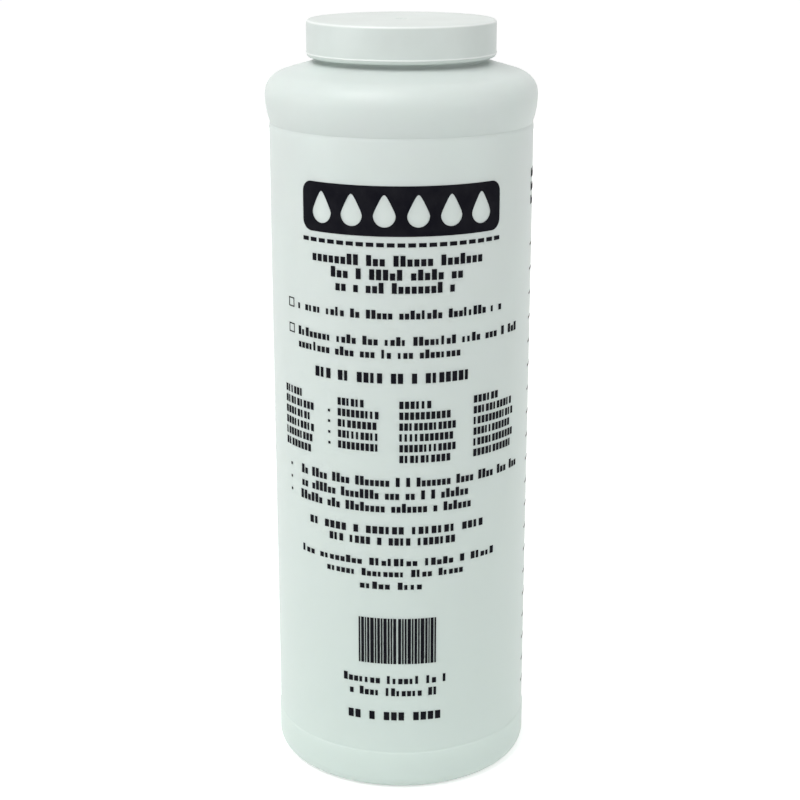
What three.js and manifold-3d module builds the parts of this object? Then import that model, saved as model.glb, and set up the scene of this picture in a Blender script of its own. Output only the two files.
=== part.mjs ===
// A one-quart fuel mixing bottle: a blow-moulded bottle of translucent plastic, with a moulded
// screw cap and a foam liner that seals the cap on the rim of the neck.
// Millimetres, +Z up, the origin at the middle of the base.

import * as THREE from 'three';
import { mergeVertices } from 'three/addons/utils/BufferGeometryUtils.js';
import Module from 'manifold-3d';

// Bottle body, from the base upwards
const PANEL_RADIUS = 39;
const HEEL_BULGE = 0.25;
const HEEL_HEIGHT = 12.7;
const HEEL_CORNER = 4.2;
const RING_WIDTH = 2;
const PUSH_UP = 5;
const PANEL_HEIGHT = 186.2;
const CREASE_HEIGHT = 0.7;
const BAND_HEIGHT = 7.9;
const BAND_ROUND = 23;
const BAND_BULGE = 1.1;
const SHOULDER_ROUND = 7;
const SHOULDER_SLOPE = THREE.MathUtils.degToRad(16.5);
const WALL = 1.1;
const BASE_WALL = 1.6;

// Neck and its thread
const NECK_RADIUS = 24.8;
const NECK_WALL = 1.6;
const NECK_HEIGHT = 9.25;
const RIM_ROUND = 0.4;
const THREAD_PITCH = 25.4 / 6;
const THREAD_DEPTH = 1.3;
const THREAD_TURNS = 1.1;
const THREAD_START = 1.2;

// Liner and cap
const LINER_THICKNESS = 1;
const LINER_CLEARANCE = 0.3;
const CAP_TOP_WALL = 1.5;
const CAP_SKIRT_WALL = 1.25;
const CAP_LIP_GAP = 1.05;
const CAP_CLEARANCE = 0.4;
const CAP_TOP_ROUND = 0.9;
const CAP_LIP_ROUND = 1;
const CAP_THREAD_CLEARANCE = 0.45;
const CAP_THREAD_TURNS = 1;
const CAP_THREAD_RISE = 0.35;
const FLANK_GAP = 0.35;
const GATE_RADIUS = 1.6;
const GATE_DEPTH = 0.15;

// Widths of the two thread ridges, as shares of the pitch that they have to fit in
const ROOT_SHARE = 0.57;
const CREST_SHARE = 0.31;
const CAP_ROOT_SHARE = 0.33;
const CAP_CREST_SHARE = 0.17;

// Fineness of the round stretches
const SEGMENTS = 64;
const ARC_STEPS = 4;
const SMALL_ARC_STEPS = 3;
const DOME_STEPS = 4;
const THREAD_FADE = 1 / 18;
const THREAD_END = 0.05;

// Heights and radii that follow from the sizes above
const bandRadius = PANEL_RADIUS + BAND_BULGE;
const heelRadius = PANEL_RADIUS + HEEL_BULGE;
const creaseHeight = HEEL_HEIGHT + PANEL_HEIGHT;
const widestHeight = creaseHeight + CREASE_HEIGHT + BAND_HEIGHT;
const slopeStart = new THREE.Vector2(
  bandRadius - SHOULDER_ROUND * (1 - Math.sin(SHOULDER_SLOPE)),
  widestHeight + SHOULDER_ROUND * Math.cos(SHOULDER_SLOPE),
);
const rootHeight = slopeStart.y + (slopeStart.x - NECK_RADIUS) * Math.tan(SHOULDER_SLOPE);
const rimHeight = Math.fround(rootHeight + NECK_HEIGHT);
const boreRadius = NECK_RADIUS - NECK_WALL;
const threadRadius = NECK_RADIUS + THREAD_DEPTH;
const skirtRadius = threadRadius + CAP_CLEARANCE;
const capRadius = skirtRadius + CAP_SKIRT_WALL;
const capLip = CAP_LIP_GAP - NECK_HEIGHT;
const capTop = LINER_THICKNESS + CAP_TOP_WALL;
const threadFoot = -(THREAD_START + THREAD_PITCH * (ROOT_SHARE / 2 + THREAD_TURNS));

const wasm = await Module();
wasm.setup();

// Points of an arc in the profile plane, from angle `from` to angle `to` in radians
function arc(centreX, centreY, radius, from, to, steps) {
  const points = [];
  for (let i = 0; i <= steps; i += 1) {
    const angle = THREE.MathUtils.lerp(from, to, i / steps);
    points.push(new THREE.Vector2(
      centreX + radius * Math.cos(angle),
      centreY + radius * Math.sin(angle),
    ));
  }
  return points;
}

// A closed solid of revolution about the vertical axis
function turned(profile) {
  return new THREE.LatheGeometry(profile, SEGMENTS).rotateX(Math.PI / 2);
}

function toSolid(geometry) {
  geometry.deleteAttribute('normal');
  geometry.deleteAttribute('uv');
  const merged = mergeVertices(geometry);
  return new wasm.Manifold(new wasm.Mesh({
    numProp: 3,
    vertProperties: new Float32Array(merged.attributes.position.array),
    triVerts: new Uint32Array(merged.index.array),
  }));
}

function toGeometry(solid) {
  const mesh = solid.getMesh();
  const geometry = new THREE.BufferGeometry();
  geometry.setAttribute('position', new THREE.BufferAttribute(mesh.vertProperties, 3));
  geometry.setIndex(new THREE.BufferAttribute(mesh.triVerts, 1));
  geometry.computeVertexNormals();
  return geometry;
}

// A helical ridge that stands `depth` out from a round wall, or into a bore where depth is
// negative. It is a straight bar wound round the axis, sunk a little into the wall, and its crest
// fades into the wall at both ends. The bar's section is the same both ways up, so `side` may
// turn it over, which keeps its faces pointing out.
function threadRidge({ wallRadius, depth, sunk, footWidth, crestWidth, startTurn, turns, height }) {
  const section = new THREE.Shape([
    new THREE.Vector2(-sunk, -footWidth / 2),
    new THREE.Vector2(0, -footWidth / 2),
    new THREE.Vector2(Math.abs(depth), -crestWidth / 2),
    new THREE.Vector2(Math.abs(depth), crestWidth / 2),
    new THREE.Vector2(0, footWidth / 2),
    new THREE.Vector2(-sunk, footWidth / 2),
  ]);
  const side = Math.sign(depth);
  const steps = Math.round(turns * SEGMENTS);
  const bar = new THREE.ExtrudeGeometry(section, { depth: turns, steps, bevelEnabled: false });
  const position = bar.attributes.position;
  for (let i = 0; i < position.count; i += 1) {
    const along = position.getZ(i);
    const fade = THREE.MathUtils.clamp(Math.min(along, turns - along) / THREAD_FADE, THREAD_END, 1);
    const reach = position.getX(i);
    const radius = wallRadius + side * (reach > 0 ? reach * fade : reach);
    const angle = 2 * Math.PI * (startTurn + along);
    position.setXYZ(
      i,
      radius * Math.cos(angle),
      radius * Math.sin(angle),
      height + THREAD_PITCH * along - side * position.getY(i),
    );
  }
  return bar;
}

// Outer face of the body, from the middle of the base to the root of the neck
function outerProfile() {
  const ringRadius = heelRadius - HEEL_CORNER;
  const domeRadius = ringRadius - RING_WIDTH;
  const points = [];
  for (let i = 0; i < DOME_STEPS; i += 1) {
    const share = i / DOME_STEPS;
    points.push(new THREE.Vector2(domeRadius * share, PUSH_UP * (1 - share ** 2)));
  }
  points.push(new THREE.Vector2(domeRadius, 0));
  points.push(...arc(ringRadius, HEEL_CORNER, HEEL_CORNER, -Math.PI / 2, 0, ARC_STEPS));
  points.push(new THREE.Vector2(heelRadius, HEEL_HEIGHT - HEEL_BULGE));
  points.push(new THREE.Vector2(PANEL_RADIUS, HEEL_HEIGHT + HEEL_BULGE));
  points.push(new THREE.Vector2(PANEL_RADIUS, creaseHeight));
  const bandFoot = -Math.asin(BAND_HEIGHT / BAND_ROUND);
  points.push(...arc(bandRadius - BAND_ROUND, widestHeight, BAND_ROUND, bandFoot, 0, ARC_STEPS));
  const shoulderEnd = Math.PI / 2 - SHOULDER_SLOPE;
  const centre = bandRadius - SHOULDER_ROUND;
  points.push(...arc(centre, widestHeight, SHOULDER_ROUND, 0, shoulderEnd, ARC_STEPS).slice(1));
  points.push(new THREE.Vector2(NECK_RADIUS, rootHeight));
  return points;
}

// The neck from its root, over the rim and down the bore
function neckProfile() {
  const boreFoot = rootHeight + (NECK_RADIUS - boreRadius) * Math.tan(SHOULDER_SLOPE);
  return [
    new THREE.Vector2(NECK_RADIUS, rimHeight - RIM_ROUND),
    new THREE.Vector2(NECK_RADIUS - RIM_ROUND, rimHeight),
    new THREE.Vector2(boreRadius, rimHeight),
    new THREE.Vector2(boreRadius, boreFoot - WALL / Math.cos(SHOULDER_SLOPE)),
  ];
}

// Inner face of the body, from the shoulder down to the middle of the floor
function innerProfile() {
  const cornerInner = HEEL_CORNER - WALL;
  const ringRadius = heelRadius - HEEL_CORNER;
  const domeRadius = ringRadius - RING_WIDTH;
  const shoulderEnd = Math.PI / 2 - SHOULDER_SLOPE;
  const shoulderInner = SHOULDER_ROUND - WALL;
  const centre = bandRadius - SHOULDER_ROUND;
  const bandFoot = -Math.asin(BAND_HEIGHT / BAND_ROUND);
  const bandInner = BAND_ROUND - WALL;
  const bandCentre = bandRadius - BAND_ROUND;
  const points = arc(centre, widestHeight, shoulderInner, shoulderEnd, 0, ARC_STEPS);
  points.push(...arc(bandCentre, widestHeight, bandInner, 0, bandFoot, SMALL_ARC_STEPS).slice(1));
  points.push(new THREE.Vector2(PANEL_RADIUS - WALL, creaseHeight));
  points.push(new THREE.Vector2(PANEL_RADIUS - WALL, HEEL_HEIGHT));
  points.push(...arc(ringRadius, HEEL_CORNER, cornerInner, 0, -Math.PI / 2, SMALL_ARC_STEPS));
  for (let i = DOME_STEPS - 1; i >= 0; i -= 1) {
    const share = i / DOME_STEPS;
    const dome = PUSH_UP * (1 - share ** 2);
    points.push(new THREE.Vector2(domeRadius * share, dome + BASE_WALL));
  }
  return points;
}

function makeBottle() {
  const body = turned([...outerProfile(), ...neckProfile(), ...innerProfile()]);
  const thread = threadRidge({
    wallRadius: NECK_RADIUS,
    depth: THREAD_DEPTH,
    sunk: NECK_WALL / 2,
    footWidth: ROOT_SHARE * THREAD_PITCH,
    crestWidth: CREST_SHARE * THREAD_PITCH,
    startTurn: 0,
    turns: THREAD_TURNS,
    height: rimHeight + threadFoot,
  });
  return toGeometry(toSolid(body).add(toSolid(thread)));
}

// The liner and the cap are drawn with the rim of the bottle at height 0
function makeLiner() {
  const radius = skirtRadius - LINER_CLEARANCE;
  return turned([
    new THREE.Vector2(0, 0),
    new THREE.Vector2(radius, 0),
    new THREE.Vector2(radius, LINER_THICKNESS),
    new THREE.Vector2(0, LINER_THICKNESS),
  ]);
}

// From the middle of the cap's ceiling, round its lip, to the gate mark in the middle of its top
function capProfile() {
  return [
    new THREE.Vector2(0, LINER_THICKNESS),
    new THREE.Vector2(skirtRadius, LINER_THICKNESS),
    new THREE.Vector2(skirtRadius, capLip),
    ...arc(capRadius - CAP_LIP_ROUND, capLip + CAP_LIP_ROUND, CAP_LIP_ROUND,
      -Math.PI / 2, 0, SMALL_ARC_STEPS),
    ...arc(capRadius - CAP_TOP_ROUND, capTop - CAP_TOP_ROUND, CAP_TOP_ROUND,
      0, Math.PI / 2, SMALL_ARC_STEPS),
    new THREE.Vector2(GATE_RADIUS + GATE_DEPTH, capTop),
    new THREE.Vector2(GATE_RADIUS, capTop - GATE_DEPTH),
    new THREE.Vector2(0, capTop - GATE_DEPTH),
  ];
}

// The cap's ridge runs under the bottle's ridge, a flank gap below it, all the way round
function makeCap() {
  const widestPair = Math.max(ROOT_SHARE + CAP_CREST_SHARE, CREST_SHARE + CAP_ROOT_SHARE);
  const below = THREAD_PITCH * widestPair / 2 + FLANK_GAP;
  const ridgeFoot = capLip + CAP_THREAD_RISE + THREAD_PITCH * CAP_ROOT_SHARE / 2;
  const thread = threadRidge({
    wallRadius: skirtRadius,
    depth: CAP_THREAD_CLEARANCE + NECK_RADIUS - skirtRadius,
    sunk: CAP_SKIRT_WALL / 2,
    footWidth: CAP_ROOT_SHARE * THREAD_PITCH,
    crestWidth: CAP_CREST_SHARE * THREAD_PITCH,
    startTurn: (ridgeFoot + below - threadFoot) / THREAD_PITCH,
    turns: CAP_THREAD_TURNS,
    height: ridgeFoot,
  });
  return toGeometry(toSolid(turned(capProfile())).add(toSolid(thread)));
}

function piece(name, geometry, colour, roughness) {
  const material = new THREE.MeshStandardMaterial({ color: colour, roughness, metalness: 0 });
  const mesh = new THREE.Mesh(geometry, material);
  mesh.name = name;
  return mesh;
}

const closure = new THREE.Group();
closure.position.z = rimHeight;
closure.add(piece('cap_liner', makeLiner(), '#f2f2ee', 0.9));
closure.add(piece('cap', makeCap(), '#dfe8e2', 0.4));

const bottleWithCap = new THREE.Group();
bottleWithCap.add(piece('bottle', makeBottle(), '#d3e2da', 0.45));
bottleWithCap.add(closure);

export default bottleWithCap;
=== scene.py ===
import math
import random

import bpy
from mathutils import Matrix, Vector


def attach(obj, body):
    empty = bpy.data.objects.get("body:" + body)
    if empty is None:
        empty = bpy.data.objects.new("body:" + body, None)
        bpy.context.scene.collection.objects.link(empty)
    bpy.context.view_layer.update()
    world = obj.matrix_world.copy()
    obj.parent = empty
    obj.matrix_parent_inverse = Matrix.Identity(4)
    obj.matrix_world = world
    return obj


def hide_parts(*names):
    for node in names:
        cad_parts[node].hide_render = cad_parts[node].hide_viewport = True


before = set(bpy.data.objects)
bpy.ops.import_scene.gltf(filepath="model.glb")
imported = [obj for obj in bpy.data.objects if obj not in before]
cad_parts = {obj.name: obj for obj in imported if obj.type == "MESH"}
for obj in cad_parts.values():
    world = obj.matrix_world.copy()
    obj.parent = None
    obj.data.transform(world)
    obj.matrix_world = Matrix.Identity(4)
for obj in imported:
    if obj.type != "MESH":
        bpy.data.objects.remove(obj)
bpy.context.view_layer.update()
MM = 0.001

# Camera
# A long lens a little over half a metre in front of the bottle, looking down on the cap.
SENSOR_WIDTH = 36
LENS = 79.0
CAMERA_PLACE = (-0.4, -520.1, 269.9)
CAMERA_TILT = 16.76
camera_data = bpy.data.cameras.new("camera")
camera_data.sensor_width = SENSOR_WIDTH
camera_data.lens = LENS
camera = bpy.data.objects.new("camera", camera_data)
camera.location = [length * MM for length in CAMERA_PLACE]
camera.rotation_euler = (math.radians(90 - CAMERA_TILT), 0, 0)
bpy.context.scene.collection.objects.link(camera)
bpy.context.scene.camera = camera

# Studio
# A pale floor under an even white surround, one wide soft lamp high at the front left, two
# weaker low ones at the sides and one behind. The floor and the surround show white to the
# camera and in reflections.
FLOOR_SIZE = 12
FLOOR_COLOUR = (0.82, 0.82, 0.82, 1)
FLOOR_LIFT = 0.5
SURROUND_LEVEL = 0.62
LAMP_AIM_HEIGHT = 0.115


def seen_directly(nodes, links):
    """1 for rays that show the backdrop itself: from the camera, a reflection or through glass."""
    path = nodes.new("ShaderNodeLightPath")
    either = nodes.new("ShaderNodeMath")
    either.operation = "MAXIMUM"
    links.new(path.outputs["Is Camera Ray"], either.inputs[0])
    links.new(path.outputs["Is Transmission Ray"], either.inputs[1])
    any_of = nodes.new("ShaderNodeMath")
    any_of.operation = "MAXIMUM"
    links.new(either.outputs[0], any_of.inputs[0])
    links.new(path.outputs["Is Glossy Ray"], any_of.inputs[1])
    return any_of.outputs[0]


def lit_world():
    """A surround that lights the object at an even level and is seen as plain white."""
    world = bpy.data.worlds.new("surround")
    world.use_nodes = True
    nodes, links = world.node_tree.nodes, world.node_tree.links
    background = nodes["Background"]
    background.inputs["Color"].default_value = (1, 1, 1, 1)
    level = nodes.new("ShaderNodeMix")
    level.inputs["A"].default_value = SURROUND_LEVEL
    level.inputs["B"].default_value = 1.0
    links.new(seen_directly(nodes, links), level.inputs["Factor"])
    links.new(level.outputs["Result"], background.inputs["Strength"])
    return world


def floor_material():
    """Matt pale paper, lifted to white where it is seen, which still takes a shadow."""
    material = bpy.data.materials.new("floor_paper")
    material.use_nodes = True
    nodes, links = material.node_tree.nodes, material.node_tree.links
    paper = nodes["Principled BSDF"]
    paper.inputs["Base Color"].default_value = FLOOR_COLOUR
    paper.inputs["Roughness"].default_value = 0.9
    paper.inputs["Specular IOR Level"].default_value = 0
    paper.inputs["Emission Color"].default_value = (1, 1, 1, 1)
    lift = nodes.new("ShaderNodeMath")
    lift.operation = "MULTIPLY"
    lift.inputs[1].default_value = FLOOR_LIFT
    links.new(seen_directly(nodes, links), lift.inputs[0])
    links.new(lift.outputs[0], paper.inputs["Emission Strength"])
    return material


def soft_lamp(name, power, size, azimuth, elevation, distance):
    """An area lamp aimed at the middle of the bottle, from an azimuth right of the camera."""
    lamp_data = bpy.data.lights.new(name, "AREA")
    lamp_data.energy = power
    lamp_data.shape = "DISK"
    lamp_data.size = size
    lamp = bpy.data.objects.new(name, lamp_data)
    turn, rise = math.radians(azimuth), math.radians(elevation)
    out = Vector((math.sin(turn) * math.cos(rise), -math.cos(turn) * math.cos(rise), math.sin(rise)))
    lamp.location = out * distance + Vector((0, 0, LAMP_AIM_HEIGHT))
    lamp.rotation_euler = out.to_track_quat("Z", "Y").to_euler()
    bpy.context.scene.collection.objects.link(lamp)
    return lamp


bpy.context.scene.view_settings.view_transform = "Standard"
bpy.context.scene.world = lit_world()
bpy.ops.object.select_all(action="DESELECT")
bpy.ops.mesh.primitive_plane_add(size=FLOOR_SIZE, location=(0, 0, 0))
floor = bpy.context.object
floor.name = "floor"
floor.data.materials.append(floor_material())
soft_lamp("window_lamp", power=7.8, size=0.9, azimuth=-42, elevation=56, distance=1.2)
soft_lamp("low_lamp", power=1.8, size=0.6, azimuth=-68, elevation=4, distance=1.2)
soft_lamp("fill_lamp", power=2.6, size=0.8, azimuth=62, elevation=8, distance=1.3)
back_lamp = soft_lamp("back_lamp", power=3.2, size=0.9, azimuth=178, elevation=4, distance=1.4)
back_lamp.visible_glossy = False

# Bottle
# One blow-moulded piece of milky, faintly green polyethylene: base, long side set in for the
# print, shoulder band, neck and thread. Its outline is drawn once and spun, and the thread is a
# wound bar joined to the neck.
PANEL_RADIUS = 39.0
HEEL_RADIUS = 39.25
HEEL_HEIGHT = 12.7
HEEL_CORNER = 4.2
RING_WIDTH = 2.0
PUSH_UP = 5.0
CREASE_HEIGHT = 198.9
WIDEST_HEIGHT = 207.5
BAND_RADIUS = 40.1
BAND_ROUND = 23.0
BAND_FOOT = 7.9
SHOULDER_ROUND = 7.0
SHOULDER_SLOPE = math.radians(16.5)
NECK_RADIUS = 24.8
NECK_WALL = 1.6
RIM_HEIGHT = 226.5
WALL = 1.1
BASE_WALL = 1.6
DOME_STEPS = 12
PANEL_STEPS = 24
EDGE_EASE = 0.35
EDGE_TURN = 0.1
EDGE_ROUND = 0.06
EDGE_FILLET = 0.04
CREASE_DEPTH = 0.07
ROOT_ROUND = 0.9
RIM_ROUND = 0.45
BORE_ROUND = 0.3
BORE_FOOT_WIDTH = 0.2
BORE_FOOT_HEIGHT = 0.5
THREAD_PITCH = 25.4 / 6
NECK_THREAD_DEPTH = 1.3
NECK_THREAD_TURNS = 1.1
NECK_THREAD_START = 1.2
NECK_THREAD_FOOT = 0.57 * THREAD_PITCH
NECK_THREAD_CREST = 0.31 * THREAD_PITCH
RIDGE_CORNERS = 6
RIDGE_STEPS = 160
RIDGE_FADE_STEPS = 9
RIDGE_END_STEP = 0.1
LINE_WIDTH = 0.35
LINE_PROUD = 0.07
LINE_SUNK = 0.2
LINE_FOOT = 1.5
LINE_NECK_GAP = 1.5
SPIN_MERGE = 0.004
JOIN_MERGE = 0.003
SMOOTH_ANGLE = 35
BOTTLE_COLOUR = (0.64, 0.708, 0.67, 1)
# The colour of the side low down: it grows greener and a little lighter from the upper height below
# to the lower one.
BOTTLE_LOW_COLOUR = (0.64, 0.765, 0.695, 1)
GREEN_RAMP_TOP = 190
GREEN_RAMP_BOTTOM = 5


def arc(centre_x, centre_z, radius, start, end, steps):
    """Points of a round stretch of an outline, from one angle to another."""
    turns = [start + (end - start) * i / steps for i in range(steps + 1)]
    return [(centre_x + radius * math.cos(t), centre_z + radius * math.sin(t)) for t in turns]


def spin_outline(name, outline, steps):
    """A solid of revolution: one vertex is extruded along the outline, then spun round Z."""
    bpy.ops.object.select_all(action="DESELECT")
    bpy.ops.mesh.primitive_plane_add(size=MM, location=(0, 0, 0))
    piece = bpy.context.object
    piece.name = name
    bpy.ops.object.mode_set(mode="EDIT")
    bpy.ops.mesh.select_all(action="SELECT")
    bpy.ops.mesh.merge(type="CENTER")
    bpy.ops.transform.translate(value=(outline[0][0] * MM, 0, outline[0][1] * MM))
    for (radius, height), (next_radius, next_height) in zip(outline, outline[1:]):
        step = ((next_radius - radius) * MM, 0, (next_height - height) * MM)
        bpy.ops.mesh.extrude_vertices_move(TRANSFORM_OT_translate={"value": step})
    bpy.ops.mesh.select_all(action="SELECT")
    bpy.ops.mesh.spin(steps=steps, angle=2 * math.pi, center=(0, 0, 0), axis=(0, 0, 1))
    bpy.ops.mesh.select_all(action="SELECT")
    bpy.ops.mesh.remove_doubles(threshold=SPIN_MERGE * MM)
    bpy.ops.mesh.normals_make_consistent(inside=False)
    bpy.ops.object.mode_set(mode="OBJECT")
    return piece


def bottle_outline():
    """From the middle of the base, up the outer face, over the rim and down the inner face."""
    ring = HEEL_RADIUS - HEEL_CORNER
    dome = ring - RING_WIDTH
    down, up = -math.pi / 2, math.pi / 2
    shares = [i / DOME_STEPS for i in range(DOME_STEPS)]
    points = [(dome * s, PUSH_UP * (1 - s ** 2)) for s in shares] + [(dome, 0)]
    points += arc(ring, HEEL_CORNER, HEEL_CORNER, down, 0, steps=10)
    foot = HEEL_HEIGHT + EDGE_EASE
    rise = CREASE_HEIGHT - EDGE_EASE - foot
    points += [(HEEL_RADIUS, HEEL_HEIGHT - EDGE_EASE)]
    points += [(HEEL_RADIUS - EDGE_ROUND, HEEL_HEIGHT - EDGE_TURN)]
    points += [(PANEL_RADIUS + EDGE_FILLET, HEEL_HEIGHT + EDGE_TURN), (PANEL_RADIUS, foot)]
    points += [(PANEL_RADIUS, foot + rise * i / PANEL_STEPS) for i in range(1, PANEL_STEPS + 1)]
    points += [(PANEL_RADIUS - CREASE_DEPTH, CREASE_HEIGHT)]
    band_angle = -math.asin(BAND_FOOT / BAND_ROUND)
    band_centre = BAND_RADIUS - BAND_ROUND
    points += arc(band_centre, WIDEST_HEIGHT, BAND_ROUND, band_angle, 0, steps=12)
    slope_angle = up - SHOULDER_SLOPE
    centre = BAND_RADIUS - SHOULDER_ROUND
    points += arc(centre, WIDEST_HEIGHT, SHOULDER_ROUND, 0, slope_angle, steps=14)[1:]
    slope_x, slope_z = points[-1]
    root = slope_z + (slope_x - NECK_RADIUS) * math.tan(SHOULDER_SLOPE)
    fall = ROOT_ROUND * math.tan(SHOULDER_SLOPE)
    points += [(NECK_RADIUS + ROOT_ROUND, root - fall)]
    points += [(NECK_RADIUS + ROOT_ROUND / 4, root + EDGE_TURN)]
    points += [(NECK_RADIUS, root + ROOT_ROUND / 2)]
    points += arc(NECK_RADIUS - RIM_ROUND, RIM_HEIGHT - RIM_ROUND, RIM_ROUND, 0, up, steps=4)
    bore = NECK_RADIUS - NECK_WALL
    points += arc(bore + BORE_ROUND, RIM_HEIGHT - BORE_ROUND, BORE_ROUND, up, math.pi, steps=3)
    inner = root + NECK_WALL * math.tan(SHOULDER_SLOPE) - WALL / math.cos(SHOULDER_SLOPE)
    points += [(bore, inner + BORE_FOOT_HEIGHT), (bore + BORE_FOOT_WIDTH, inner)]
    points += arc(centre, WIDEST_HEIGHT, SHOULDER_ROUND - WALL, slope_angle, 0, steps=8)
    points += arc(band_centre, WIDEST_HEIGHT, BAND_ROUND - WALL, 0, band_angle, steps=6)[1:]
    points += [(PANEL_RADIUS - WALL, CREASE_HEIGHT), (PANEL_RADIUS - WALL, HEEL_HEIGHT)]
    points += arc(ring, HEEL_CORNER, HEEL_CORNER - WALL, 0, down, steps=6)
    points += [(dome * s, PUSH_UP * (1 - s ** 2) + BASE_WALL) for s in reversed(shares)]
    return points


def wound_ridge(name, wall, depth, sunk, foot, crest, turns):
    """A thread ridge: a trapezoid wound up the wall. Its depth is how far it stands out from the
    wall, and less than 0 where it stands inwards."""
    bpy.ops.object.select_all(action="DESELECT")
    bpy.ops.mesh.primitive_plane_add(size=2, location=(0, 0, 0))
    ridge = bpy.context.object
    ridge.name = name
    side = math.copysign(1, depth)
    corners = [(-sunk, -foot / 2), (0, -foot / 2), (abs(depth), -crest / 2)]
    corners += [(x, -z) for x, z in reversed(corners)]
    bpy.ops.object.mode_set(mode="EDIT")
    bpy.ops.mesh.select_all(action="SELECT")
    bpy.ops.mesh.merge(type="CENTER")
    x, z = corners[0]
    bpy.ops.transform.translate(value=((wall + side * x) * MM, 0, z * MM))
    for (x, z), (next_x, next_z) in zip(corners, corners[1:]):
        step = (side * (next_x - x) * MM, 0, (next_z - z) * MM)
        bpy.ops.mesh.extrude_vertices_move(TRANSFORM_OT_translate={"value": step})
    bpy.ops.mesh.select_all(action="SELECT")
    bpy.ops.mesh.edge_face_add()
    bpy.ops.mesh.delete(type="ONLY_FACE")
    bpy.ops.object.mode_set(mode="OBJECT")
    bpy.ops.object.modifier_add(type="SCREW")
    screw = ridge.modifiers[-1]
    screw.angle = 2 * math.pi * turns
    screw.screw_offset = THREAD_PITCH * turns * MM
    screw.steps = screw.render_steps = round(RIDGE_STEPS * turns)
    screw.use_smooth_shade = False
    bpy.ops.object.modifier_apply(modifier=screw.name)
    return ridge


def fade_ends(ridge, wall):
    """Sinks the crest of a wound ridge into its wall over the last steps at each end."""
    vertices = ridge.data.vertices
    rings = len(vertices) // RIDGE_CORNERS
    for ring in range(rings):
        steps_in = min(ring, rings - 1 - ring) + RIDGE_END_STEP
        share = min(1, steps_in / RIDGE_FADE_STEPS)
        for vertex in vertices[ring * RIDGE_CORNERS:(ring + 1) * RIDGE_CORNERS]:
            radius = vertex.co.xy.length
            kept = wall * MM + (radius - wall * MM) * share
            vertex.co.xy *= kept / radius


def close_ends(ridge):
    """Fills the two open ends of a wound ridge and turns its faces outwards."""
    for first in (0, len(ridge.data.vertices) - RIDGE_CORNERS):
        corners = range(first, first + RIDGE_CORNERS)
        for vertex in ridge.data.vertices:
            vertex.select = vertex.index in corners
        for edge in ridge.data.edges:
            edge.select = all(i in corners for i in edge.vertices)
        for face in ridge.data.polygons:
            face.select = False
        bpy.ops.object.mode_set(mode="EDIT")
        bpy.ops.mesh.edge_face_add()
        bpy.ops.mesh.select_all(action="SELECT")
        bpy.ops.mesh.normals_make_consistent(inside=False)
        bpy.ops.object.mode_set(mode="OBJECT")


def place_ridge(ridge, turn, height):
    """Turns a wound ridge to where it starts and lifts it to its height."""
    ridge.rotation_euler = (0, 0, math.radians(turn))
    ridge.location = (0, 0, height * MM)
    bpy.ops.object.transform_apply(location=True, rotation=True, scale=True)


def select_only(piece):
    """Selects one piece and makes it the active one."""
    bpy.ops.object.select_all(action="DESELECT")
    bpy.context.view_layer.objects.active = piece
    piece.select_set(True)


def combine(piece, tool, operation):
    """Joins a tool solid to a piece, or cuts it away, and removes the tool."""
    select_only(piece)
    bpy.ops.object.modifier_add(type="BOOLEAN")
    boolean = piece.modifiers[-1]
    boolean.operation = operation
    boolean.solver = "EXACT"
    boolean.object = tool
    bpy.ops.object.modifier_apply(modifier=boolean.name)
    bpy.data.objects.remove(tool)


def smooth_faces(piece):
    """Merges what a join left closer than a few thousandths, then shades the round faces smooth."""
    select_only(piece)
    bpy.ops.object.mode_set(mode="EDIT")
    bpy.ops.mesh.select_all(action="SELECT")
    bpy.ops.mesh.remove_doubles(threshold=JOIN_MERGE * MM)
    bpy.ops.mesh.dissolve_degenerate(threshold=JOIN_MERGE * MM)
    bpy.ops.object.mode_set(mode="OBJECT")
    bpy.ops.object.shade_smooth_by_angle(angle=math.radians(SMOOTH_ANGLE))


def add_node(nodes, kind, **values):
    """A node of that kind, with its properties and then its inputs set by name."""
    node = nodes.new(kind)
    for name, value in values.items():
        if name in node.bl_rna.properties:
            setattr(node, name, value)
        else:
            node.inputs[name.replace("_", " ")].default_value = value
    return node


def make_grain_group():
    """Moulded plastic: broad soft mottle, and the fine height of a satin mould surface."""
    group = bpy.data.node_groups.new("moulded_grain", "ShaderNodeTree")
    group.interface.new_socket("Mottle Scale", in_out="INPUT", socket_type="NodeSocketFloat")
    group.interface.new_socket("Grain Scale", in_out="INPUT", socket_type="NodeSocketFloat")
    group.interface.new_socket("Mottle", in_out="OUTPUT", socket_type="NodeSocketFloat")
    group.interface.new_socket("Grain", in_out="OUTPUT", socket_type="NodeSocketFloat")
    nodes, links = group.nodes, group.links
    given = nodes.new("NodeGroupInput")
    result = nodes.new("NodeGroupOutput")
    place = nodes.new("ShaderNodeTexCoord")
    mottle = add_node(nodes, "ShaderNodeTexNoise", Detail=4.0, Roughness=0.55)
    grain = add_node(nodes, "ShaderNodeTexNoise", Detail=6.0, Roughness=0.65)
    links.new(place.outputs["Object"], mottle.inputs["Vector"])
    links.new(place.outputs["Object"], grain.inputs["Vector"])
    links.new(given.outputs["Mottle Scale"], mottle.inputs["Scale"])
    links.new(given.outputs["Grain Scale"], grain.inputs["Scale"])
    links.new(mottle.outputs["Fac"], result.inputs["Mottle"])
    links.new(grain.outputs["Fac"], result.inputs["Grain"])
    return group


def start_plastic(name, mottle_scale, grain_scale):
    """A new material with the grain group in it, returned with its nodes, links and shader."""
    material = bpy.data.materials.new(name)
    material.use_nodes = True
    nodes, links = material.node_tree.nodes, material.node_tree.links
    grain = nodes.new("ShaderNodeGroup")
    grain.node_tree = bpy.data.node_groups.get("moulded_grain") or make_grain_group()
    grain.inputs["Mottle Scale"].default_value = mottle_scale
    grain.inputs["Grain Scale"].default_value = grain_scale
    return material, nodes, links, nodes["Principled BSDF"], grain


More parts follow.
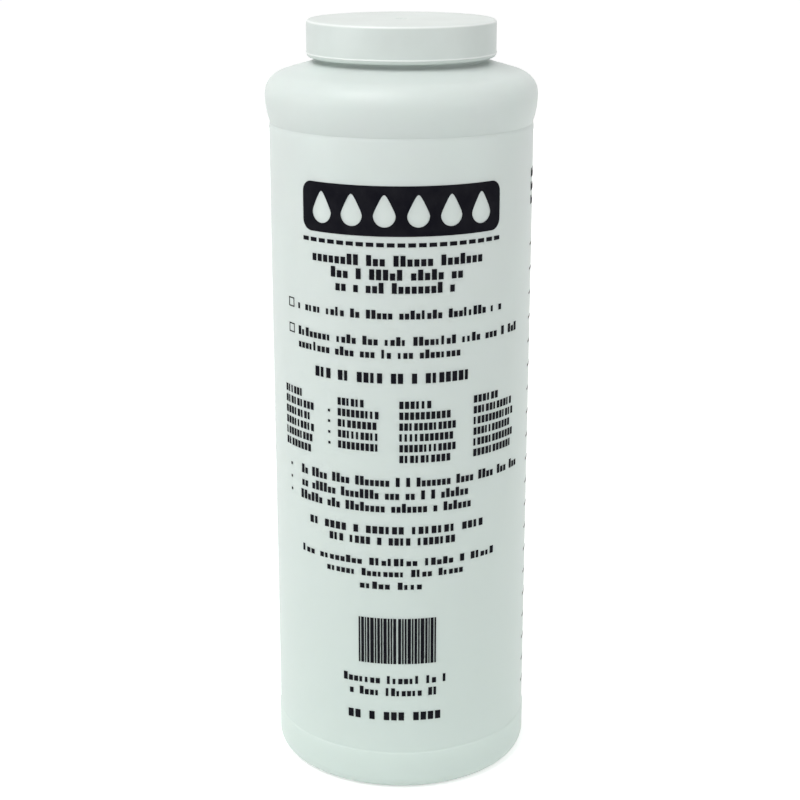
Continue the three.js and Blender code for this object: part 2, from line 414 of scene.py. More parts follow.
def vary_gloss(nodes, links, grain, shader, smooth, rough):
    """Lets the roughness wander between two levels with the grain."""
    gloss = add_node(nodes, "ShaderNodeMapRange", To_Min=smooth, To_Max=rough)
    links.new(grain.outputs["Grain"], gloss.inputs["Value"])
    links.new(gloss.outputs[0], shader.inputs["Roughness"])


def rise_between(nodes, links, length, start, end):
    """Goes from 0 at one length to 1 at another, both in millimetres."""
    ramp = add_node(nodes, "ShaderNodeMapRange", From_Min=start * MM, From_Max=end * MM)
    links.new(length, ramp.inputs["Value"])
    return ramp.outputs[0]


def bottle_material():
    """Milky polyethylene: greener and a little lighter towards the bottom, with a soft waviness in
    the wall.
    """
    material, nodes, links, plastic, grain = start_plastic("milky_polyethylene", 38, 2400)
    plastic.inputs["IOR"].default_value = 1.5
    plastic.inputs["Subsurface Weight"].default_value = 0.6
    plastic.inputs["Subsurface Radius"].default_value = (1.0, 1.0, 0.9)
    plastic.inputs["Subsurface Scale"].default_value = 4 * MM
    place = nodes.new("ShaderNodeTexCoord")
    split = nodes.new("ShaderNodeSeparateXYZ")
    links.new(place.outputs["Object"], split.inputs[0])
    lower_share = rise_between(nodes, links, split.outputs["Z"], GREEN_RAMP_TOP, GREEN_RAMP_BOTTOM)
    soft_mottle = add_node(nodes, "ShaderNodeMapRange", From_Min=0.35, From_Max=0.65, To_Max=0.35)
    links.new(grain.outputs["Mottle"], soft_mottle.inputs["Value"])
    greener_share = add_node(nodes, "ShaderNodeMath", operation="MAXIMUM")
    links.new(lower_share, greener_share.inputs[0])
    links.new(soft_mottle.outputs[0], greener_share.inputs[1])
    colour = add_node(nodes, "ShaderNodeMix", data_type="RGBA")
    colour.inputs["A"].default_value = BOTTLE_COLOUR
    colour.inputs["B"].default_value = BOTTLE_LOW_COLOUR
    links.new(greener_share.outputs[0], colour.inputs["Factor"])
    links.new(colour.outputs["Result"], plastic.inputs["Base Color"])
    vary_gloss(nodes, links, grain, plastic, 0.36, 0.5)
    satin = add_node(nodes, "ShaderNodeMath", operation="MULTIPLY")
    satin.inputs[1].default_value = 0.04
    links.new(grain.outputs["Grain"], satin.inputs[0])
    wave = add_node(nodes, "ShaderNodeMath", operation="MULTIPLY_ADD")
    wave.inputs[1].default_value = 4.0
    links.new(grain.outputs["Mottle"], wave.inputs[0])
    links.new(satin.outputs[0], wave.inputs[2])
    bump = add_node(nodes, "ShaderNodeBump", Strength=0.5, Distance=0.15 * MM)
    links.new(wave.outputs[0], bump.inputs["Height"])
    links.new(bump.outputs[0], plastic.inputs["Normal"])
    return material


def parting_line(name, side):
    """The fine raised line that the two halves of the mould leave down a side, from the heel to
    the foot of the neck: a narrow strip, extruded point by point in the plane between them."""
    outline = bottle_outline()
    rim = max(range(len(outline)), key=lambda i: outline[i][1])
    foot = max(i for i in range(rim) if outline[i][1] < LINE_FOOT)
    neck = next(i for i in range(foot, rim) if outline[i][0] < NECK_RADIUS + LINE_NECK_GAP)
    path = [(radius + LINE_PROUD, height) for radius, height in outline[foot:neck]]
    bpy.ops.object.select_all(action="DESELECT")
    bpy.ops.mesh.primitive_plane_add(size=MM, location=(0, 0, 0))
    strip = bpy.context.object
    strip.name = name
    bpy.ops.object.mode_set(mode="EDIT")
    bpy.ops.mesh.select_all(action="SELECT")
    bpy.ops.mesh.merge(type="CENTER")
    start = (side * path[0][0] * MM, -LINE_WIDTH / 2 * MM, path[0][1] * MM)
    bpy.ops.transform.translate(value=start)
    for (radius, height), (next_radius, next_height) in zip(path, path[1:]):
        step = (side * (next_radius - radius) * MM, 0, (next_height - height) * MM)
        bpy.ops.mesh.extrude_vertices_move(TRANSFORM_OT_translate={"value": step})
    bpy.ops.mesh.select_all(action="SELECT")
    across = (0, LINE_WIDTH * MM, 0)
    bpy.ops.mesh.extrude_region_move(TRANSFORM_OT_translate={"value": across})
    bpy.ops.mesh.select_all(action="SELECT")
    bpy.ops.mesh.normals_make_consistent(inside=False)
    bpy.ops.object.mode_set(mode="OBJECT")
    upward = strip.data.polygons[len(strip.data.polygons) // 2].normal.x * side
    bpy.ops.object.modifier_add(type="SOLIDIFY")
    film = strip.modifiers[-1]
    film.thickness = LINE_SUNK * MM
    film.offset = -1 if upward > 0 else 1
    bpy.ops.object.modifier_apply(modifier=film.name)
    bpy.ops.object.mode_set(mode="EDIT")
    bpy.ops.mesh.select_all(action="SELECT")
    bpy.ops.mesh.normals_make_consistent(inside=False)
    bpy.ops.object.mode_set(mode="OBJECT")
    return strip


neck_ridge_height = (RIM_HEIGHT - NECK_THREAD_START - NECK_THREAD_FOOT / 2
                     - THREAD_PITCH * NECK_THREAD_TURNS)

bottle = spin_outline("blown_bottle", bottle_outline(), steps=180)
neck_thread = wound_ridge("neck_thread", NECK_RADIUS, NECK_THREAD_DEPTH, NECK_WALL / 2,
                          NECK_THREAD_FOOT, NECK_THREAD_CREST, NECK_THREAD_TURNS)
fade_ends(neck_thread, NECK_RADIUS)
close_ends(neck_thread)
place_ridge(neck_thread, 0, neck_ridge_height)
combine(bottle, neck_thread, "UNION")
combine(bottle, parting_line("right_line", 1), "UNION")
combine(bottle, parting_line("left_line", -1), "UNION")
smooth_faces(bottle)
bottle.data.materials.clear()
bottle.data.materials.append(bottle_material())
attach(bottle, "bottle")
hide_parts("bottle")

# Cap
# One injection-moulded screw cap of the same plastic, a little greyer: flat top with the mark of
# its gate, smooth skirt with a fine bead above its rounded lip, and one turn of thread inside.
CAP_SKIRT_RADIUS = 26.5
CAP_RADIUS = 27.75
CAP_LIP_HEIGHT = 218.3
CAP_CEILING = RIM_HEIGHT + 1.0
CAP_TOP = RIM_HEIGHT + 2.5
CAP_TOP_ROUND = 0.9
CAP_TOP_RINGS = (0.8, 0.55, 0.3, 0.12)
CAP_CORNER = 0.3
CAP_LIP_ROUND = 1.0
CAP_LIP_EDGE_WIDTH = 0.15
CAP_LIP_EDGE_HEIGHT = 0.2
CAP_THREAD_DEPTH = 1.25
CAP_THREAD_SUNK = 0.625
CAP_THREAD_FOOT = 1.397
CAP_THREAD_CREST = 0.72
CAP_THREAD_HEIGHT = 219.35
CAP_THREAD_ANGLE = 155.4
BEAD_LIFT = 0.12
BEAD_DEPTH = 0.17
BEAD_SHAPE = ((0.7, 0), (1, 0.1), (1, 0.18), (0.6, 0.3), (0.1, 0.44), (0, 0.6))
GATE_RADIUS = 1.6
GATE_DEPTH = 0.15
GATE_PIP_FOOT = 0.5
GATE_PIP_RADIUS = 0.35
GATE_PIP_ROUND = 0.02
CAP_COLOUR = (0.62, 0.665, 0.635, 1)
CAP_SWIRL_COLOUR = (0.66, 0.71, 0.68, 1)
# Painted highlight: a paler colour on the rounded edge of the top and on the bead, where light
# catches them.
CAP_EDGE_PAINTED_HIGHLIGHT = (0.75, 0.78, 0.765, 1)
# Painted shade: the skirt's colour is multiplied by this below the top, so the sides look darker
# than the top.
CAP_SKIRT_PAINTED_SHADE = (0.91, 0.925, 0.93, 1)
CAP_SKIRT_SHADE_START = 0.3
HIGHLIGHT_EDGE_RADII = (27.1, 27.5)
HIGHLIGHT_EDGE_DROPS = (0.75, 0.35)
HIGHLIGHT_BEAD_RISES = (0.04, 0.12)


def cap_outline():
    """From the middle of the ceiling, down inside, round the lip and up to the gate mark."""
    skirt_in, skirt_out = CAP_SKIRT_RADIUS, CAP_RADIUS
    down, up = -math.pi / 2, math.pi / 2
    points = [(skirt_in * i / 4, CAP_CEILING) for i in range(4)]
    points += [(skirt_in - CAP_CORNER, CAP_CEILING), (skirt_in, CAP_CEILING - CAP_CORNER)]
    points += [(skirt_in, CAP_LIP_HEIGHT + CAP_LIP_EDGE_HEIGHT)]
    points += [(skirt_in + CAP_LIP_EDGE_WIDTH, CAP_LIP_HEIGHT)]
    lip_centre = CAP_LIP_HEIGHT + CAP_LIP_ROUND
    points += arc(skirt_out - CAP_LIP_ROUND, lip_centre, CAP_LIP_ROUND, down, 0, steps=8)
    bead_foot = lip_centre + BEAD_LIFT
    points += [(skirt_out + share * BEAD_DEPTH, bead_foot + rise) for share, rise in BEAD_SHAPE]
    top_centre = CAP_TOP - CAP_TOP_ROUND
    points += arc(skirt_out - CAP_TOP_ROUND, top_centre, CAP_TOP_ROUND, 0, up, steps=8)
    points += [(CAP_RADIUS * share, CAP_TOP) for share in CAP_TOP_RINGS]
    points += [(GATE_RADIUS + GATE_DEPTH, CAP_TOP), (GATE_RADIUS, CAP_TOP - GATE_DEPTH)]
    points += [(GATE_PIP_FOOT, CAP_TOP - GATE_DEPTH)]
    points += [(GATE_PIP_RADIUS, CAP_TOP - GATE_PIP_ROUND), (0, CAP_TOP)]
    return points


def cap_material():
    """The same plastic, thicker and closed: faint swirls where it flowed out from the gate, a
    fine satin grain, a painted highlight: a paler line round the edge of the top and along the
    bead, and painted shade that darkens the skirt a little, where the neck is close behind it."""
    material, nodes, links, plastic, grain = start_plastic("moulded_cap_plastic", 60, 2200)
    plastic.inputs["IOR"].default_value = 1.5
    plastic.inputs["Subsurface Weight"].default_value = 0.25
    plastic.inputs["Subsurface Radius"].default_value = (1.0, 1.0, 0.9)
    plastic.inputs["Subsurface Scale"].default_value = 2 * MM
    swirl = add_node(nodes, "ShaderNodeMapRange", From_Min=0.35, From_Max=0.7)
    links.new(grain.outputs["Mottle"], swirl.inputs["Value"])
    colour = add_node(nodes, "ShaderNodeMix", data_type="RGBA")
    colour.inputs["A"].default_value = CAP_COLOUR
    colour.inputs["B"].default_value = CAP_SWIRL_COLOUR
    links.new(swirl.outputs[0], colour.inputs["Factor"])
    place = nodes.new("ShaderNodeTexCoord")
    split = nodes.new("ShaderNodeSeparateXYZ")
    links.new(place.outputs["Object"], split.inputs[0])
    flat = add_node(nodes, "ShaderNodeCombineXYZ")
    links.new(split.outputs["X"], flat.inputs["X"])
    links.new(split.outputs["Y"], flat.inputs["Y"])
    radius = add_node(nodes, "ShaderNodeVectorMath", operation="LENGTH")
    links.new(flat.outputs[0], radius.inputs[0])
    out, height = radius.outputs["Value"], split.outputs["Z"]
    highlight_edge_heights = [CAP_TOP - drop for drop in HIGHLIGHT_EDGE_DROPS]
    highlight_bead_radii = [CAP_RADIUS + rise for rise in HIGHLIGHT_BEAD_RISES]
    # Painted highlight: a paler line round the edge of the top and along the outside of the bead.
    top_edge_highlight = add_node(nodes, "ShaderNodeMath", operation="MULTIPLY")
    links.new(rise_between(nodes, links, out, *HIGHLIGHT_EDGE_RADII), top_edge_highlight.inputs[0])
    links.new(rise_between(nodes, links, height, *highlight_edge_heights), top_edge_highlight.inputs[1])
    painted_highlight = add_node(nodes, "ShaderNodeMath", operation="MAXIMUM")
    links.new(top_edge_highlight.outputs[0], painted_highlight.inputs[0])
    links.new(rise_between(nodes, links, out, *highlight_bead_radii), painted_highlight.inputs[1])
    # Painted shade: from the rounded top edge down, the skirt's colour is multiplied darker.
    skirt_shade_heights = (CAP_TOP - CAP_SKIRT_SHADE_START, CAP_TOP - CAP_TOP_ROUND)
    painted_skirt_shade = add_node(nodes, "ShaderNodeMix", data_type="RGBA", blend_type="MULTIPLY")
    painted_skirt_shade.inputs["B"].default_value = CAP_SKIRT_PAINTED_SHADE
    links.new(colour.outputs["Result"], painted_skirt_shade.inputs["A"])
    links.new(rise_between(nodes, links, height, *skirt_shade_heights), painted_skirt_shade.inputs["Factor"])
    highlighted_colour = add_node(nodes, "ShaderNodeMix", data_type="RGBA")
    highlighted_colour.inputs["B"].default_value = CAP_EDGE_PAINTED_HIGHLIGHT
    links.new(painted_skirt_shade.outputs["Result"], highlighted_colour.inputs["A"])
    links.new(painted_highlight.outputs[0], highlighted_colour.inputs["Factor"])
    links.new(highlighted_colour.outputs["Result"], plastic.inputs["Base Color"])
    vary_gloss(nodes, links, grain, plastic, 0.3, 0.45)
    bump = add_node(nodes, "ShaderNodeBump", Strength=0.2, Distance=0.02 * MM)
    links.new(grain.outputs["Grain"], bump.inputs["Height"])
    links.new(bump.outputs[0], plastic.inputs["Normal"])
    return material


screw_cap = spin_outline("screw_cap", cap_outline(), steps=160)
cap_thread = wound_ridge("cap_thread", CAP_SKIRT_RADIUS, -CAP_THREAD_DEPTH, CAP_THREAD_SUNK,
                         CAP_THREAD_FOOT, CAP_THREAD_CREST, turns=1)
fade_ends(cap_thread, CAP_SKIRT_RADIUS)
close_ends(cap_thread)
place_ridge(cap_thread, CAP_THREAD_ANGLE, CAP_THREAD_HEIGHT)
combine(screw_cap, cap_thread, "UNION")
smooth_faces(screw_cap)
screw_cap.data.materials.clear()
screw_cap.data.materials.append(cap_material())
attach(screw_cap, "cap")
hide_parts("cap")

# Liner
# A disc die-cut from foamed sheet and pressed into the top of the cap. The rim of the neck
# leaves a round dent in its lower face.
LINER_RADIUS = 26.2
LINER_EDGE = 0.12
DENT_DEPTH = 0.02
DENT_SLOPE = 0.2
LINER_COLOUR = (0.80, 0.80, 0.77, 1)
LINER_CELL_COLOUR = (0.66, 0.66, 0.63, 1)


def liner_outline():
    """From the middle of the lower face, over the dent and round the edge to the upper face."""
    low, high = RIM_HEIGHT, CAP_CEILING
    down, up = -math.pi / 2, math.pi / 2
    dent_in, dent_out = NECK_RADIUS - NECK_WALL, NECK_RADIUS
    points = [(LINER_RADIUS * i / 5, low) for i in range(4)]
    points += [(dent_in - DENT_SLOPE, low), (dent_in, low + DENT_DEPTH)]
    points += [(dent_out, low + DENT_DEPTH), (dent_out + DENT_SLOPE, low)]
    points += arc(LINER_RADIUS - LINER_EDGE, low + LINER_EDGE, LINER_EDGE, down, 0, steps=3)
    points += arc(LINER_RADIUS - LINER_EDGE, high - LINER_EDGE, LINER_EDGE, 0, up, steps=3)
    points += [(LINER_RADIUS * i / 5, high) for i in (4, 3, 2, 1, 0)]
    return points


def foam_material():
    """Closed-cell foam: small pale cells with slightly darker walls, matt."""
    material, nodes, links, foam, grain = start_plastic("foamed_sheet", 200, 1800)
    place = nodes.new("ShaderNodeTexCoord")
    cells = add_node(nodes, "ShaderNodeTexVoronoi", Scale=2600.0)
    links.new(place.outputs["Object"], cells.inputs["Vector"])
    colour = add_node(nodes, "ShaderNodeMix", data_type="RGBA")
    colour.inputs["A"].default_value = LINER_COLOUR
    colour.inputs["B"].default_value = LINER_CELL_COLOUR
    links.new(cells.outputs["Distance"], colour.inputs["Factor"])
    links.new(colour.outputs["Result"], foam.inputs["Base Color"])
    vary_gloss(nodes, links, grain, foam, 0.75, 0.95)
    bump = add_node(nodes, "ShaderNodeBump", Strength=0.4, Distance=0.05 * MM)
    links.new(cells.outputs["Distance"], bump.inputs["Height"])
    links.new(bump.outputs[0], foam.inputs["Normal"])
    return material


foam_liner = spin_outline("foam_liner", liner_outline(), steps=120)
smooth_faces(foam_liner)
foam_liner.data.materials.clear()
foam_liner.data.materials.append(foam_material())
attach(foam_liner, "liner")
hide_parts("cap_liner")

# Print
# Flat black ink, screen-printed on the side. Each part of it is drawn flat, as the artwork is,
# then given the ink's thickness and wrapped round the bottle.
INK_THICKNESS = 0.045
INK_COLOUR = (0.004, 0.004, 0.007, 1)
INK_WORN_COLOUR = (0.011, 0.011, 0.014, 1)


def ink_material():
    """Flat ink with a slight bloom, a little thin in places."""
    material, nodes, links, ink, grain = start_plastic("screen_print_ink", 160, 3500)
    ink.inputs["Specular IOR Level"].default_value = 0.06
    colour = add_node(nodes, "ShaderNodeMix", data_type="RGBA")
    colour.inputs["A"].default_value = INK_COLOUR
    colour.inputs["B"].default_value = INK_WORN_COLOUR
    thin = add_node(nodes, "ShaderNodeMapRange", From_Min=0.4, From_Max=0.75)
    links.new(grain.outputs["Mottle"], thin.inputs["Value"])
    links.new(thin.outputs[0], colour.inputs["Factor"])
    links.new(colour.outputs["Result"], ink.inputs["Base Color"])
    vary_gloss(nodes, links, grain, ink, 0.6, 0.85)
    return material


def flat_block(left, right, low, high):
    """A rectangle of print in the flat artwork, in millimetres."""
    bpy.ops.mesh.primitive_plane_add(size=1, location=(0, 0, 0))
    block = bpy.context.object
    bpy.ops.object.mode_set(mode="EDIT")
    bpy.ops.transform.resize(value=((right - left) * MM, (high - low) * MM, 1))
    bpy.ops.transform.translate(value=((left + right) / 2 * MM, (low + high) / 2 * MM, 0))
    bpy.ops.object.mode_set(mode="OBJECT")
    return block


def join_blocks(name, blocks):
    """Makes one named piece of several flat blocks."""
    bpy.ops.object.select_all(action="DESELECT")
    for block in blocks:
        block.select_set(True)
    bpy.context.view_layer.objects.active = blocks[0]
    bpy.ops.object.join()
    bpy.context.object.name = name
    return bpy.context.object


def thicken(piece):
    """Gives flat artwork the thickness of the ink."""
    select_only(piece)
    bpy.ops.object.modifier_add(type="SOLIDIFY")
    film = piece.modifiers[-1]
    film.thickness = INK_THICKNESS * MM
    film.offset = 1
    bpy.ops.object.modifier_apply(modifier=film.name)


def wrap_on_bottle(piece):
    """Stands the flat artwork up and wraps it round the straight side of the bottle."""
    select_only(piece)
    piece.rotation_euler = (math.pi / 2, 0, 0)
    bpy.ops.object.transform_apply(location=True, rotation=True, scale=True)
    across = [vertex.co.x for vertex in piece.data.vertices]
    bpy.ops.object.modifier_add(type="SIMPLE_DEFORM")
    bend = piece.modifiers[-1]
    bend.deform_method = "BEND"
    bend.deform_axis = "Z"
    bend.angle = (max(across) - min(across)) / (PANEL_RADIUS * MM)
    bpy.ops.object.modifier_apply(modifier=bend.name)
    bpy.ops.object.mode_set(mode="EDIT")
    bpy.ops.mesh.select_all(action="SELECT")
    bpy.ops.transform.translate(value=(0, -PANEL_RADIUS * MM, 0))
    bpy.ops.mesh.normals_make_consistent(inside=False)
    bpy.ops.object.mode_set(mode="OBJECT")
    piece.data.materials.clear()
    piece.data.materials.append(bpy.data.materials.get("screen_print_ink") or ink_material())
    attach(piece, "bottle")


def slice_upright(piece, left, right, spacing):
    """Upright cuts through a wide shape, so that it can bend round the bottle."""
    select_only(piece)
    bpy.ops.object.mode_set(mode="EDIT")
    for i in range(1, round((right - left) / spacing)):
        bpy.ops.mesh.select_all(action="SELECT")
        cut = ((left + i * spacing) * MM, 0, 0)
        bpy.ops.mesh.bisect(plane_co=cut, plane_no=(1, 0, 0))
    bpy.ops.object.mode_set(mode="OBJECT")


# Heading
# A wide black band with round corners, a row of drops left clear in it, and a row of dashes
# below.
BAND_HALF_WIDTH = 31.0
BAND_LOW = 172.4
BAND_HIGH = 186.6
BAND_CORNER = 3.2
BAND_CUT_SPACING = 1.6
DROPS = 6
DROP_PITCH = 9.6
DROP_RADIUS = 3.2
DROP_TIP = 0.85
DROP_TAPER = 0.45
DROP_LOWERED = 1.3
DASHES = 21
DASH_PITCH = 3.0
DASH_HALF_LENGTH = 1.1
DASH_LOW = 169.4
DASH_HIGH = 170.6


def heading_band():
    """The solid band of ink, before the drops are cut out of it."""
    band = flat_block(-BAND_HALF_WIDTH, BAND_HALF_WIDTH, BAND_LOW, BAND_HIGH)
    bpy.ops.object.mode_set(mode="EDIT")
    bpy.ops.mesh.select_all(action="SELECT")
    bpy.ops.mesh.bevel(offset=BAND_CORNER * MM, segments=8, affect="VERTICES")
    bpy.ops.object.mode_set(mode="OBJECT")
    thicken(band)
    return band


def drop_cutter(across, up):
    """A drop shape right through the ink: a round foot drawn up to a point."""
    bpy.ops.mesh.primitive_circle_add(vertices=32, radius=DROP_RADIUS * MM, fill_type="NGON")
    drop = bpy.context.object
    for vertex in drop.data.vertices:
        rise = max(0, vertex.co.y / (DROP_RADIUS * MM))
        vertex.co.y += DROP_TIP * DROP_RADIUS * MM * rise ** 2
        vertex.co.x *= 1 - DROP_TAPER * rise ** 1.5
        vertex.co.z = -MM
    bpy.ops.object.mode_set(mode="EDIT")
    bpy.ops.mesh.select_all(action="SELECT")
    bpy.ops.mesh.extrude_region_move(TRANSFORM_OT_translate={"value": (0, 0, 2 * MM)})
    bpy.ops.mesh.select_all(action="SELECT")
    bpy.ops.transform.translate(value=(across * MM, up * MM, 0))
    bpy.ops.mesh.normals_make_consistent(inside=False)
    bpy.ops.object.mode_set(mode="OBJECT")
    return drop


heading = heading_band()
drop_middle = (BAND_LOW + BAND_HIGH) / 2 - DROP_LOWERED
for number in range(DROPS):
    across = (number - (DROPS - 1) / 2) * DROP_PITCH
    combine(heading, drop_cutter(across, drop_middle), "DIFFERENCE")
slice_upright(heading, -BAND_HALF_WIDTH, BAND_HALF_WIDTH, BAND_CUT_SPACING)
heading.name = "print_heading"
wrap_on_bottle(heading)

dashes = []
for number in range(DASHES):
    middle = (number - DASHES // 2) * DASH_PITCH
    left, right = middle - DASH_HALF_LENGTH, middle + DASH_HALF_LENGTH
    dashes.append(flat_block(left, right, DASH_LOW, DASH_HIGH))
dash_row = join_blocks("print_dashes", dashes)
thicken(dash_row)
wrap_on_bottle(dash_row)

# Block lines
# Lines of plain upright ink blocks, spaced in groups. Each line is one grid, six rows high and
# four columns to a block, with the cells of the gaps taken out.
# A line is its middle height, left end, right end, height and number of marks.
MARK_ROWS = 6
MARK_COLUMNS = 4
LOW_ROWS = 4
LIGHT_WIDTHS = (2, 3, 3, 3)
BOLD_WIDTHS = (3, 3, 3, 3)
GROUP_LENGTHS = (1, 2, 3, 3, 4, 4, 5, 6, 7, 8)
FIRST_TALL_SHARE = 0.4
TALL_SHARE = 0.25
HEAD_LINES = ((165.5, -27.5, 24.5, 3.1, 27), (161.5, -21, 18, 3.1, 20),
              (157.7, -19.5, 15.5, 3.1, 19))
NOTE_LINES = ((150, -34, 34, 2.6, 43), (142.3, -34, 42, 2.6, 47), (138.5, -34, 19, 2.6, 34))
CAPITAL_LINES = ((131.3, -27, 20.5, 3.0, 24), (85, -30, 26, 2.3, 29), (81.5, -22.5, 18, 2.3, 24))
BOLD_LINES = ((100, -33.5, 42, 2.8, 50), (96, -33.5, 20.5, 2.8, 36), (92, -34, 21.5, 2.8, 36))
LOWER_LINES = ((75, -33.5, 30.5, 2.3, 35), (71.5, -23.5, 19, 2.3, 26), (67.5, -12.5, 8, 2.3, 11))
FOOT_LINES = ((37, -18, 14, 2.6, 19), (33, -16, 11, 2.6, 17))
LAST_LINE = ((25, -16.5, 12, 2.7, 13),)
COLUMN_TOP = 123.4
COLUMN_PITCH = 3.27
COLUMN_MARK_HEIGHT = 2.25
COLUMN_MARK_WIDTH = 1.45
COLUMNS = ((-41.5, 13.5, (0.65, 1, 0.9, 1, 0.95, 0.9)), (-19.2, 12.6, (0.65, 1, 0.95, 1, 1)),
           (-0.6, 16.8, (0.55, 0.9, 1, 0.95, 1, 0.9)), (22.2, 17.0, (0.55, 0.95, 1, 0.9, 1, 0.95)))
chance = random.Random(53)


def group_lengths(marks, whole):
    """Splits a line into groups of one to eight blocks with a gap between them, or leaves it
    whole."""
    if whole:
        return [marks]
    groups = []
    left = marks
    while left > 0:
        length = min(left, chance.choice(GROUP_LENGTHS))
        groups.append(length)
        left -= length + 1
    return groups


def kept_cells(marks, tall, widths, whole):
    """The grid cells of a line that hold ink, as (column, row) pairs."""
    cells = set()
    start = 0
    for length in group_lengths(marks, whole):
        for place in range(start, start + length):
            high = tall or place == start and chance.random() < FIRST_TALL_SHARE
            high = high or chance.random() < TALL_SHARE
            rows = MARK_ROWS if high else LOW_ROWS
            first = place * MARK_COLUMNS
            width = chance.choice(widths)
            cells.update((first + i, row) for i in range(width) for row in range(rows))
        start += length + 1
    return cells


def print_line(middle, left, right, height, marks, tall, widths, whole):
    """One line of marks, flat, at its place in the artwork."""
    columns = marks * MARK_COLUMNS - 1
    cells = kept_cells(marks, tall, widths, whole)
    bpy.ops.object.select_all(action="DESELECT")
    bpy.ops.mesh.primitive_grid_add(x_subdivisions=columns, y_subdivisions=MARK_ROWS, size=1)
    line = bpy.context.object
    for face in line.data.polygons:
        column = int((face.center.x + 0.5) * columns)
        row = int((face.center.y + 0.5) * MARK_ROWS)
        face.select = (column, row) not in cells
    bpy.context.tool_settings.mesh_select_mode = (False, False, True)
    bpy.ops.object.mode_set(mode="EDIT")
    bpy.ops.mesh.delete(type="FACE")
    bpy.context.tool_settings.mesh_select_mode = (True, False, False)
    bpy.ops.mesh.select_all(action="SELECT")
    spread = ((right - left) * MM, height * MM, 1)
    bpy.ops.transform.resize(value=spread, center_override=(0, 0, 0))
    bpy.ops.transform.translate(value=((left + right) / 2 * MM, middle * MM, 0))
    bpy.ops.object.mode_set(mode="OBJECT")
    return line


def print_lines(name, lines, tall=False, widths=LIGHT_WIDTHS, whole=False):
    """Several lines of marks as one finished piece of print."""
    printed = join_blocks(name, [print_line(*line, tall, widths, whole) for line in lines])
    thicken(printed)
    wrap_on_bottle(printed)


print_lines("print_head_lines", HEAD_LINES, widths=BOLD_WIDTHS)
print_lines("print_note_lines", NOTE_LINES)
print_lines("print_capital_lines", CAPITAL_LINES, tall=True)
print_lines("print_bold_lines", BOLD_LINES, widths=BOLD_WIDTHS)
print_lines("print_lower_lines", LOWER_LINES)
print_lines("print_foot_lines", FOOT_LINES)
print_lines("print_last_line", LAST_LINE, tall=True, widths=BOLD_WIDTHS)
column_lines = []
for left, width, shares in COLUMNS:
    for number, share in enumerate(shares):
        middle = COLUMN_TOP - number * COLUMN_PITCH
        marks = round(width * share / COLUMN_MARK_WIDTH)
        column_lines.append((middle, left, left + width * share, COLUMN_MARK_HEIGHT, marks))
print_lines("print_columns", column_lines, tall=True, whole=True)

# Bullets
# Square outlines in front of the two notes, and small solid squares in front of the lines of the
# second column and of the bold lines.
FRAME_SIZE = 2.8
FRAME_LINE = 0.35
FRAME_PLACES = ((-37.4, 150), (-37.4, 142.3))
BULLET_SIZE = 0.8
BULLETS_LEFT = -40
BULLETS_RIGHT = -20
BULLET_CUT_SPACING = 1.0
BULLET_PLACES = ((-22.2, 120.1), (-22.2, 116.9), (-22.2, 113.6), (-22.2, 110.3),
                 (-38.9, 100), (-38.9, 96), (-38.9, 92))


def square_frame(across, up):
    """A thin square outline in the flat artwork, given by its middle."""
    half = FRAME_SIZE / 2
    frame_block = flat_block(across - half, across + half, up - half, up + half)
    bpy.ops.object.mode_set(mode="EDIT")
    bpy.ops.mesh.select_all(action="SELECT")
    bpy.ops.mesh.inset(thickness=FRAME_LINE * MM, depth=0)
    bpy.ops.mesh.delete(type="FACE")
    bpy.ops.object.mode_set(mode="OBJECT")
    return frame_block


bullets = [square_frame(across, up) for across, up in FRAME_PLACES]
for across, up in BULLET_PLACES:
    half = BULLET_SIZE / 2
    bullets.append(flat_block(across - half, across + half, up - half, up + half))
bullet_marks = join_blocks("print_bullets", bullets)
thicken(bullet_marks)
slice_upright(bullet_marks, BULLETS_LEFT, BULLETS_RIGHT, BULLET_CUT_SPACING)
wrap_on_bottle(bullet_marks)

# Bars
# A block of upright bars, the same from the left as from the right, so that it encodes nothing.
BARS_LEFT = -13.0
BARS_RIGHT = 10.5
BARS_LOW = 42.3
BARS_HIGH = 57.0
BAR_WIDTHS = (0.5, 0.9, 0.4, 0.7, 1.1, 0.5, 0.8, 0.5, 1.0, 0.6, 0.5, 0.9)
bars = []
bar_edge = BARS_LEFT
bar_middle = (BARS_LEFT + BARS_RIGHT) / 2
bar_gap = ((BARS_RIGHT - BARS_LEFT) / 2 - sum(BAR_WIDTHS)) / len(BAR_WIDTHS)
for width in BAR_WIDTHS:
    mirrored = 2 * bar_middle - bar_edge
    bars.append(flat_block(bar_edge, bar_edge + width, BARS_LOW, BARS_HIGH))
    bars.append(flat_block(mirrored - width, mirrored, BARS_LOW, BARS_HIGH))
    bar_edge += width + bar_gap
bar_block = join_blocks("print_bars", bars)
thicken(bar_block)
wrap_on_bottle(bar_block)

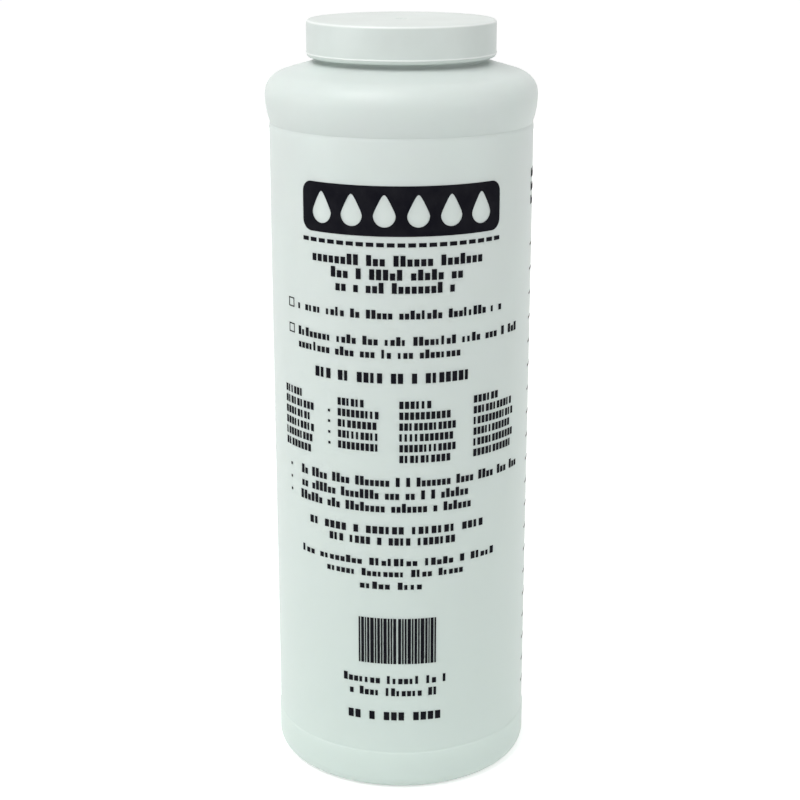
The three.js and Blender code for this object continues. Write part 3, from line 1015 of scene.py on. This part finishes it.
# Scale
# A measuring scale up the right side: a tick and a plain number for each of twenty steps, with
# a longer tick at every fifth, and three short lines of blocks above it.
SCALE_LEFT = 52.5
SCALE_LOW = 22.3
SCALE_HIGH = 164.1
SCALE_STEPS = 20
LONG_TICK_EVERY = 5
TICK_LENGTH = 5.0
LONG_TICK_LENGTH = 7.0
TICK_WIDTH = 0.5
TICK_CUT_SPACING = 1.0
NUMBER_GAP = 3.6
NUMBER_SIZE = 4.2
NUMBER_CURVE_STEPS = 3
NUMBER_MERGE = 0.002
SCALE_HEADING = ((185.5, 52, 76, 2.6, 14), (181.5, 52, 72, 2.6, 12), (177.5, 52, 70, 2.6, 11))


def scale_number(value, left, up):
    """A plain number, set as text and made a mesh before it is placed."""
    bpy.ops.object.select_all(action="DESELECT")
    bpy.ops.object.text_add(location=(0, 0, 0))
    number = bpy.context.object
    number.data.body = str(value)
    number.data.size = NUMBER_SIZE * MM
    number.data.resolution_u = NUMBER_CURVE_STEPS
    number.data.align_y = "CENTER"
    bpy.ops.object.convert(target="MESH")
    number = bpy.context.object
    bpy.ops.object.mode_set(mode="EDIT")
    bpy.ops.mesh.select_all(action="SELECT")
    bpy.ops.mesh.remove_doubles(threshold=NUMBER_MERGE * MM)
    bpy.ops.transform.translate(value=(left * MM, up * MM, 0))
    bpy.ops.object.mode_set(mode="OBJECT")
    return number


ticks = []
numbers = []
for step in range(SCALE_STEPS):
    up = SCALE_LOW + (SCALE_HIGH - SCALE_LOW) * step / (SCALE_STEPS - 1)
    length = TICK_LENGTH if (step + 1) % LONG_TICK_EVERY else LONG_TICK_LENGTH
    right = SCALE_LEFT + length
    ticks.append(flat_block(SCALE_LEFT, right, up - TICK_WIDTH / 2, up + TICK_WIDTH / 2))
    numbers.append(scale_number(step + 1, SCALE_LEFT + LONG_TICK_LENGTH + NUMBER_GAP, up))
scale_ticks = join_blocks("print_scale_ticks", ticks)
thicken(scale_ticks)
slice_upright(scale_ticks, SCALE_LEFT, SCALE_LEFT + LONG_TICK_LENGTH, TICK_CUT_SPACING)
wrap_on_bottle(scale_ticks)
scale_numbers = join_blocks("print_scale_numbers", numbers)
thicken(scale_numbers)
wrap_on_bottle(scale_numbers)
print_lines("print_scale_heading", SCALE_HEADING)
